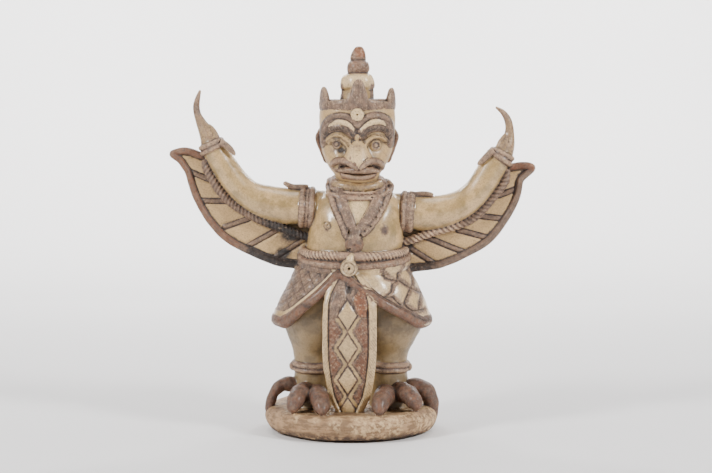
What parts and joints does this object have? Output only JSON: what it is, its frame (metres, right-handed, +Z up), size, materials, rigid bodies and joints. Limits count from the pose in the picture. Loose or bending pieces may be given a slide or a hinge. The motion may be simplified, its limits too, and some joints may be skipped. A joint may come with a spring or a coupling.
{
  "type": "garuda figure",
  "caption": "Glazed stoneware garuda standing on a round plinth, winged arms raised, with crown, topknot, garland, belt, flared skirt and sash.",
  "frame": {"origin": "centre of the plinth's flat underside", "axes": "+Z up through the topknot, -Y the way the figure faces, +X towards the viewer's right, which is the figure's left hand"},
  "size_m": [0.3072, 0.146, 0.32],
  "materials": {
    "stoneware": null
  },
  "bodies": {
    "root": {"garuda_figure": "stoneware"}
  },
  "joints": []
}
